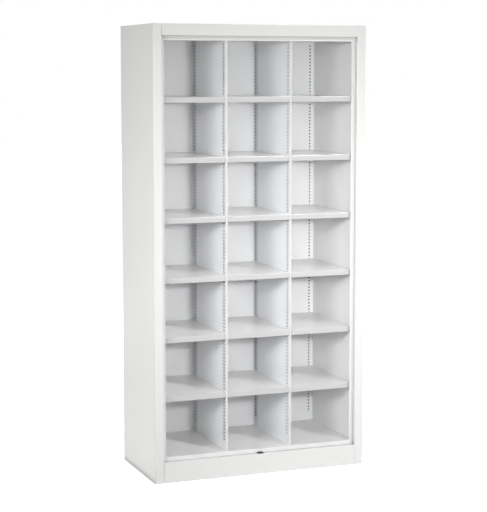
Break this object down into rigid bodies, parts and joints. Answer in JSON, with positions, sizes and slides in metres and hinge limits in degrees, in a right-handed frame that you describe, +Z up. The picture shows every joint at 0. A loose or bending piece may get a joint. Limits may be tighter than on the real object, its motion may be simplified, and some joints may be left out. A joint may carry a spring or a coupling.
{
  "type": "pigeonhole mail sorter",
  "caption": "Tall open-fronted steel cabinet divided into columns of pigeonholes by perforated dividers and lift-out shelves, on a plinth with levelling feet.",
  "frame": {"origin": "on the ground under the middle of the cabinet", "axes": "+Z up along the height, -Y towards the open front, +X to the right seen from the front"},
  "size_m": [0.975, 0.46, 1.95],
  "materials": {
    "powder_coat": "satin light grey powder coat",
    "zinc_plate": "bright zinc plate",
    "black_plastic": "matt black moulding"
  },
  "bodies": {
    "cabinet": {"left_side_panel": "powder_coat", "right_side_panel": "powder_coat", "top_panel": "powder_coat", "plinth": "powder_coat", "floor_panel": "powder_coat", "back_panel": "powder_coat", "bolt_socket": "black_plastic", "left_liner": "powder_coat", "right_liner": "powder_coat", "left_rear_strip": "powder_coat", "right_rear_strip": "powder_coat", "divider_1": "powder_coat", "divider_2": "powder_coat", "base_bracket_front_left": "zinc_plate", "base_bracket_rear_left": "zinc_plate", "base_bracket_front_right": "zinc_plate", "base_bracket_rear_right": "zinc_plate"},
    "levelling_foot_front_left": {"levelling_foot_front_left": "zinc_plate"},
    "levelling_foot_rear_left": {"levelling_foot_rear_left": "zinc_plate"},
    "levelling_foot_front_right": {"levelling_foot_front_right": "zinc_plate"},
    "levelling_foot_rear_right": {"levelling_foot_rear_right": "zinc_plate"},
    "shelf_col1_row1": {"shelf_col1_row1": "powder_coat"},
    "shelf_col1_row2": {"shelf_col1_row2": "powder_coat"},
    "shelf_col1_row3": {"shelf_col1_row3": "powder_coat"},
    "shelf_col1_row4": {"shelf_col1_row4": "powder_coat"},
    "shelf_col1_row5": {"shelf_col1_row5": "powder_coat"},
    "shelf_col1_row6": {"shelf_col1_row6": "powder_coat"},
    "shelf_col2_row1": {"shelf_col2_row1": "powder_coat"},
    "shelf_col2_row2": {"shelf_col2_row2": "powder_coat"},
    "shelf_col2_row3": {"shelf_col2_row3": "powder_coat"},
    "shelf_col2_row4": {"shelf_col2_row4": "powder_coat"},
    "shelf_col2_row5": {"shelf_col2_row5": "powder_coat"},
    "shelf_col2_row6": {"shelf_col2_row6": "powder_coat"},
    "shelf_col3_row1": {"shelf_col3_row1": "powder_coat"},
    "shelf_col3_row2": {"shelf_col3_row2": "powder_coat"},
    "shelf_col3_row3": {"shelf_col3_row3": "powder_coat"},
    "shelf_col3_row4": {"shelf_col3_row4": "powder_coat"},
    "shelf_col3_row5": {"shelf_col3_row5": "powder_coat"},
    "shelf_col3_row6": {"shelf_col3_row6": "powder_coat"}
  },
  "joints": [
    {"name": "lift_shelf_col1_row1", "type": "slide", "parent": "cabinet", "child": "shelf_col1_row1", "axis": [0, 0, 1], "range_m": [0, 0.225]},
    {"name": "lift_shelf_col1_row2", "type": "slide", "parent": "cabinet", "child": "shelf_col1_row2", "axis": [0, 0, 1], "range_m": [0, 0.225]},
    {"name": "lift_shelf_col1_row3", "type": "slide", "parent": "cabinet", "child": "shelf_col1_row3", "axis": [0, 0, 1], "range_m": [0, 0.225]},
    {"name": "lift_shelf_col1_row4", "type": "slide", "parent": "cabinet", "child": "shelf_col1_row4", "axis": [0, 0, 1], "range_m": [0, 0.225]},
    {"name": "lift_shelf_col1_row5", "type": "slide", "parent": "cabinet", "child": "shelf_col1_row5", "axis": [0, 0, 1], "range_m": [0, 0.225]},
    {"name": "lift_shelf_col1_row6", "type": "slide", "parent": "cabinet", "child": "shelf_col1_row6", "axis": [0, 0, 1], "range_m": [0, 0.225]},
    {"name": "lift_shelf_col2_row1", "type": "slide", "parent": "cabinet", "child": "shelf_col2_row1", "axis": [0, 0, 1], "range_m": [0, 0.225]},
    {"name": "lift_shelf_col2_row2", "type": "slide", "parent": "cabinet", "child": "shelf_col2_row2", "axis": [0, 0, 1], "range_m": [0, 0.225]},
    {"name": "lift_shelf_col2_row3", "type": "slide", "parent": "cabinet", "child": "shelf_col2_row3", "axis": [0, 0, 1], "range_m": [0, 0.225]},
    {"name": "lift_shelf_col2_row4", "type": "slide", "parent": "cabinet", "child": "shelf_col2_row4", "axis": [0, 0, 1], "range_m": [0, 0.225]},
    {"name": "lift_shelf_col2_row5", "type": "slide", "parent": "cabinet", "child": "shelf_col2_row5", "axis": [0, 0, 1], "range_m": [0, 0.225]},
    {"name": "lift_shelf_col2_row6", "type": "slide", "parent": "cabinet", "child": "shelf_col2_row6", "axis": [0, 0, 1], "range_m": [0, 0.225]},
    {"name": "lift_shelf_col3_row1", "type": "slide", "parent": "cabinet", "child": "shelf_col3_row1", "axis": [0, 0, 1], "range_m": [0, 0.225]},
    {"name": "lift_shelf_col3_row2", "type": "slide", "parent": "cabinet", "child": "shelf_col3_row2", "axis": [0, 0, 1], "range_m": [0, 0.225]},
    {"name": "lift_shelf_col3_row3", "type": "slide", "parent": "cabinet", "child": "shelf_col3_row3", "axis": [0, 0, 1], "range_m": [0, 0.225]},
    {"name": "lift_shelf_col3_row4", "type": "slide", "parent": "cabinet", "child": "shelf_col3_row4", "axis": [0, 0, 1], "range_m": [0, 0.225]},
    {"name": "lift_shelf_col3_row5", "type": "slide", "parent": "cabinet", "child": "shelf_col3_row5", "axis": [0, 0, 1], "range_m": [0, 0.225]},
    {"name": "lift_shelf_col3_row6", "type": "slide", "parent": "cabinet", "child": "shelf_col3_row6", "axis": [0, 0, 1], "range_m": [0, 0.225]},
    {"name": "extend_levelling_foot_front_left", "type": "slide", "parent": "cabinet", "child": "levelling_foot_front_left", "axis": [0, 0, -1], "range_m": [0, 0.015]},
    {"name": "extend_levelling_foot_rear_left", "type": "slide", "parent": "cabinet", "child": "levelling_foot_rear_left", "axis": [0, 0, -1], "range_m": [0, 0.015]},
    {"name": "extend_levelling_foot_front_right", "type": "slide", "parent": "cabinet", "child": "levelling_foot_front_right", "axis": [0, 0, -1], "range_m": [0, 0.015]},
    {"name": "extend_levelling_foot_rear_right", "type": "slide", "parent": "cabinet", "child": "levelling_foot_rear_right", "axis": [0, 0, -1], "range_m": [0, 0.015]}
  ]
}
